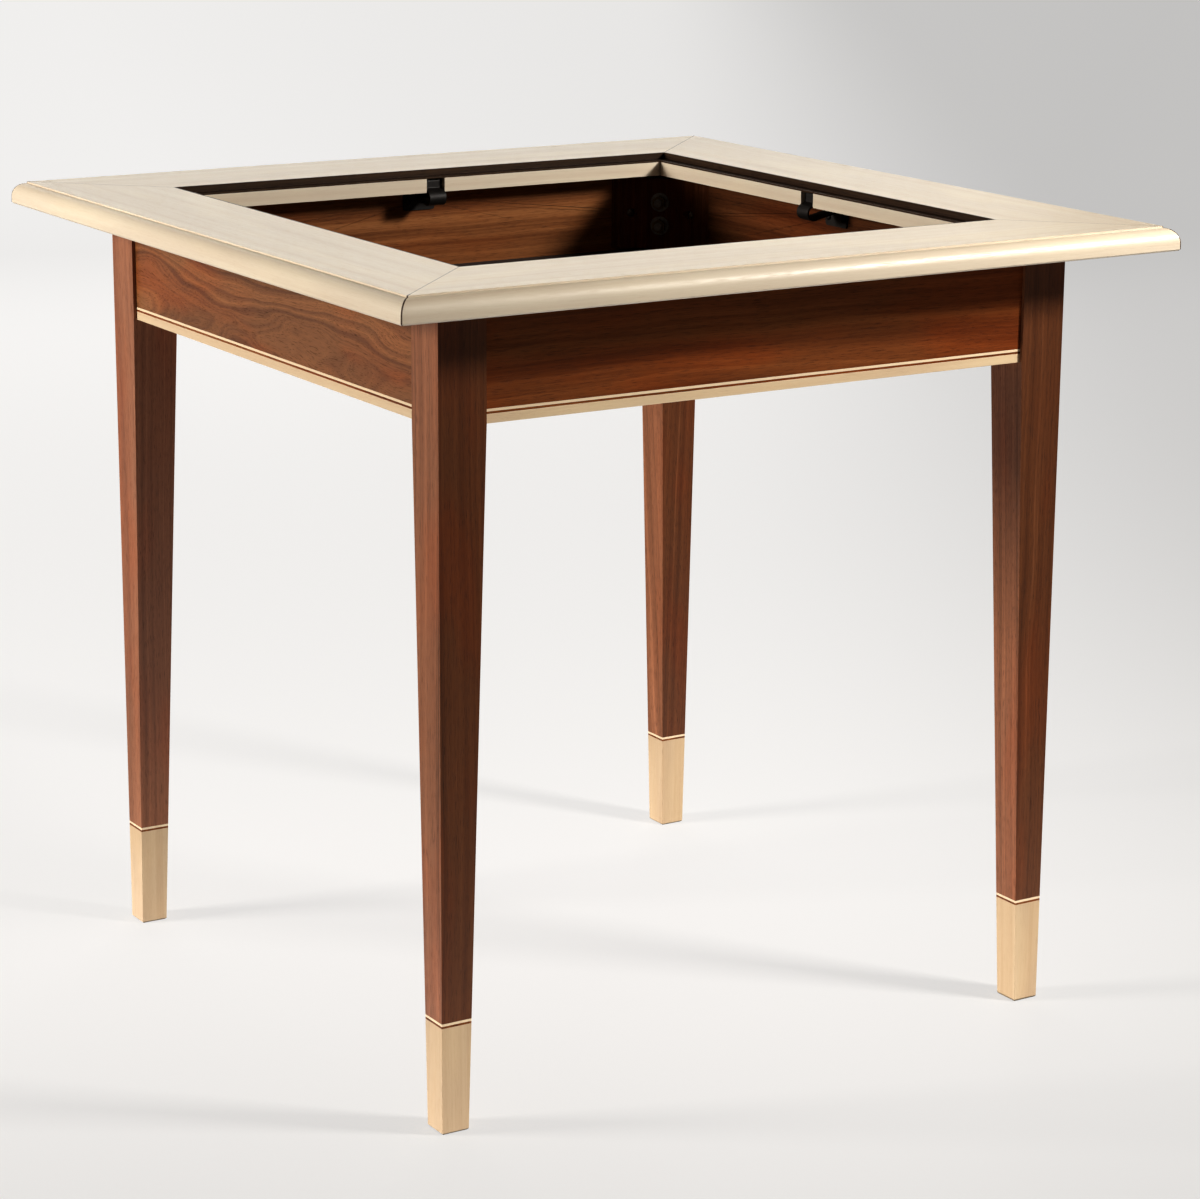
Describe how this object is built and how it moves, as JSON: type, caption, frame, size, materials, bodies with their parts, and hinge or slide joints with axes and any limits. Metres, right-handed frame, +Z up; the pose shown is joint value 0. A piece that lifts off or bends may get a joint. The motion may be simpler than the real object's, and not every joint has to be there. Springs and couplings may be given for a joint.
{
  "type": "gaming table",
  "caption": "Square table with a mitred top frame, a lined seat for a drop-in game board over a shallow well, banded aprons and tapered legs with contrasting feet.",
  "frame": {"origin": "on the floor, under the centre of the square top", "axes": "+Z up; +X along the front side towards its right end; +Y from the front side to the back side"},
  "size_m": [0.813, 0.813, 0.762],
  "materials": {
    "maple": "satin lacquer",
    "walnut": "satin lacquer",
    "dark_walnut": "satin lacquer",
    "beech": "bare wood",
    "felt": "matt felt",
    "black_steel": "blackened steel",
    "zinc": "zinc plated steel",
    "yellow_zinc": "yellow zinc plated steel"
  },
  "bodies": {
    "root": {"top_rail_front": "maple", "top_rail_right": "maple", "top_rail_back": "maple", "top_rail_left": "maple", "board_liner_front": "dark_walnut", "board_liner_right": "dark_walnut", "board_liner_back": "dark_walnut", "board_liner_left": "dark_walnut", "holddown_strap_front": "black_steel", "holddown_strap_right": "black_steel", "holddown_strap_back": "black_steel", "holddown_strap_left": "black_steel", "apron_front": "walnut", "apron_right": "walnut", "apron_back": "walnut", "apron_left": "walnut", "apron_band_front": "maple", "apron_band_right": "maple", "apron_band_back": "maple", "apron_band_left": "maple", "apron_line_front": "walnut", "apron_line_right": "walnut", "apron_line_back": "walnut", "apron_line_left": "walnut", "apron_string_front": "maple", "apron_string_right": "maple", "apron_string_back": "maple", "apron_string_left": "maple", "leg_front_left": "walnut", "leg_front_right": "walnut", "leg_back_right": "walnut", "leg_back_left": "walnut", "leg_string_front_left": "maple", "leg_string_front_right": "maple", "leg_string_back_right": "maple", "leg_string_back_left": "maple", "foot_line_front_left": "walnut", "foot_line_front_right": "walnut", "foot_line_back_right": "walnut", "foot_line_back_left": "walnut", "foot_front_left": "maple", "foot_front_right": "maple", "foot_back_right": "maple", "foot_back_left": "maple", "corner_block_front_left": "walnut", "corner_block_front_right": "walnut", "corner_block_back_right": "walnut", "corner_block_back_left": "walnut", "mitre_splines": "beech", "foot_dowels": "beech", "bottom_panel": "dark_walnut", "well_lining": "felt", "hanger_bolts": "zinc", "bolt_washers": "zinc", "bolt_nuts": "yellow_zinc", "block_screws": "zinc", "top_screws": "zinc", "strap_screws": "zinc"}
  },
  "joints": []
}
